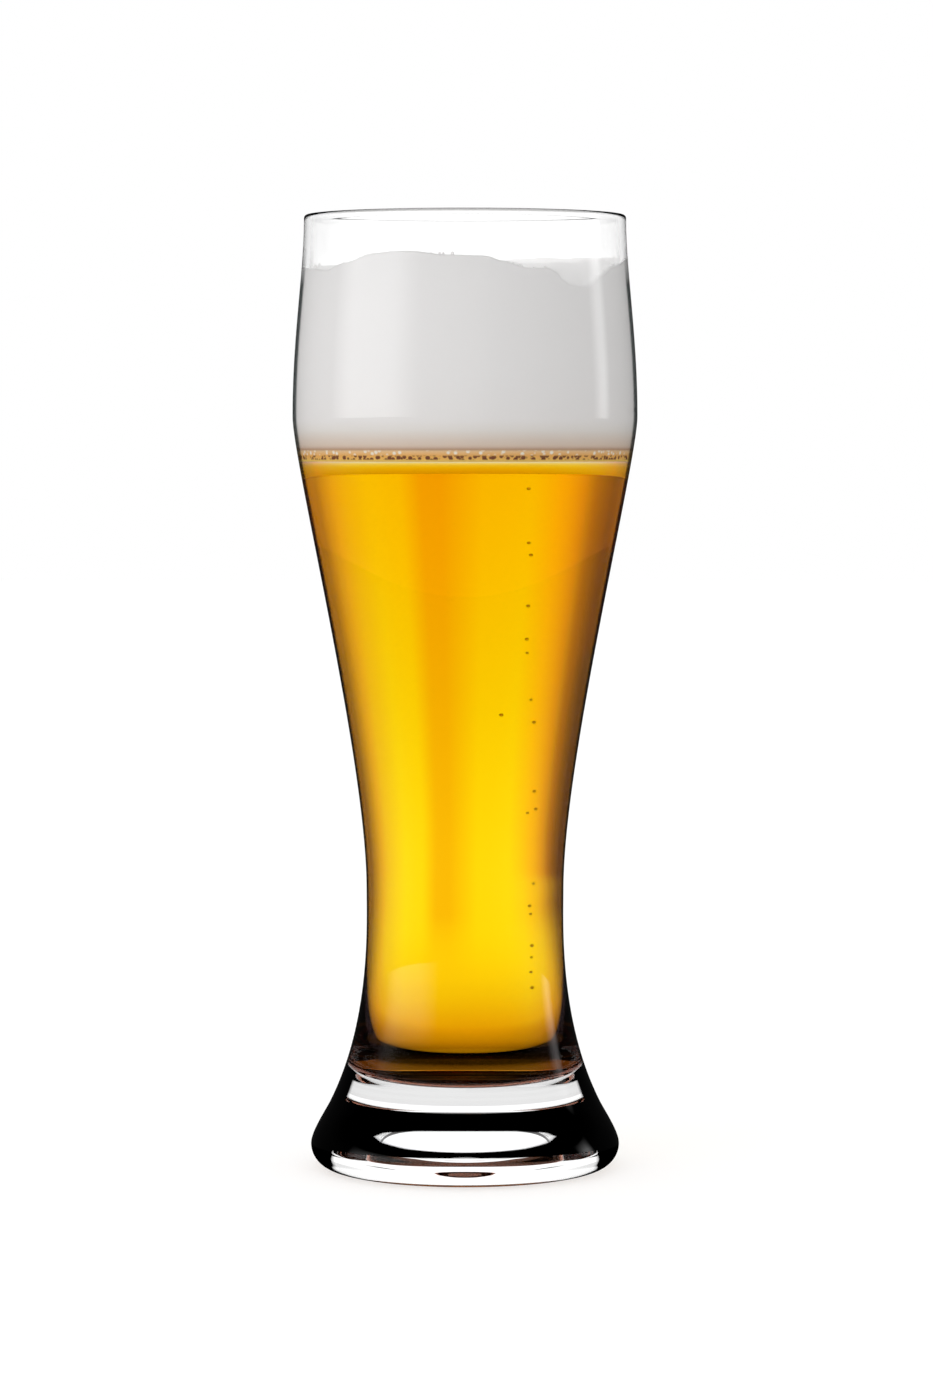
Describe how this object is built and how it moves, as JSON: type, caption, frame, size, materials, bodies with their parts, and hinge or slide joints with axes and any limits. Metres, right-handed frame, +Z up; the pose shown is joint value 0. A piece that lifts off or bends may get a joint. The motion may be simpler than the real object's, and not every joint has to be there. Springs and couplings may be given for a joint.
{
  "type": "beer glass",
  "caption": "Tall footed beer glass with a waist, a heavy solid foot and a soft shoulder near the rim, filled with golden beer under a head of foam; stands on a flat ring",
  "frame": {"origin": "centre of the flat ring that the glass stands on", "axes": "+Z runs up the axis of the glass; the glass and the beer are turned bodies about it, and the foam's crest lies towards -X"},
  "size_m": [0.079, 0.079, 0.219],
  "materials": {
    "clear_glass": "gloss",
    "beer": "gloss",
    "foam": "matte"
  },
  "bodies": {
    "root": {"glass": "clear_glass", "beer": "beer", "foam": "foam"}
  },
  "joints": []
}
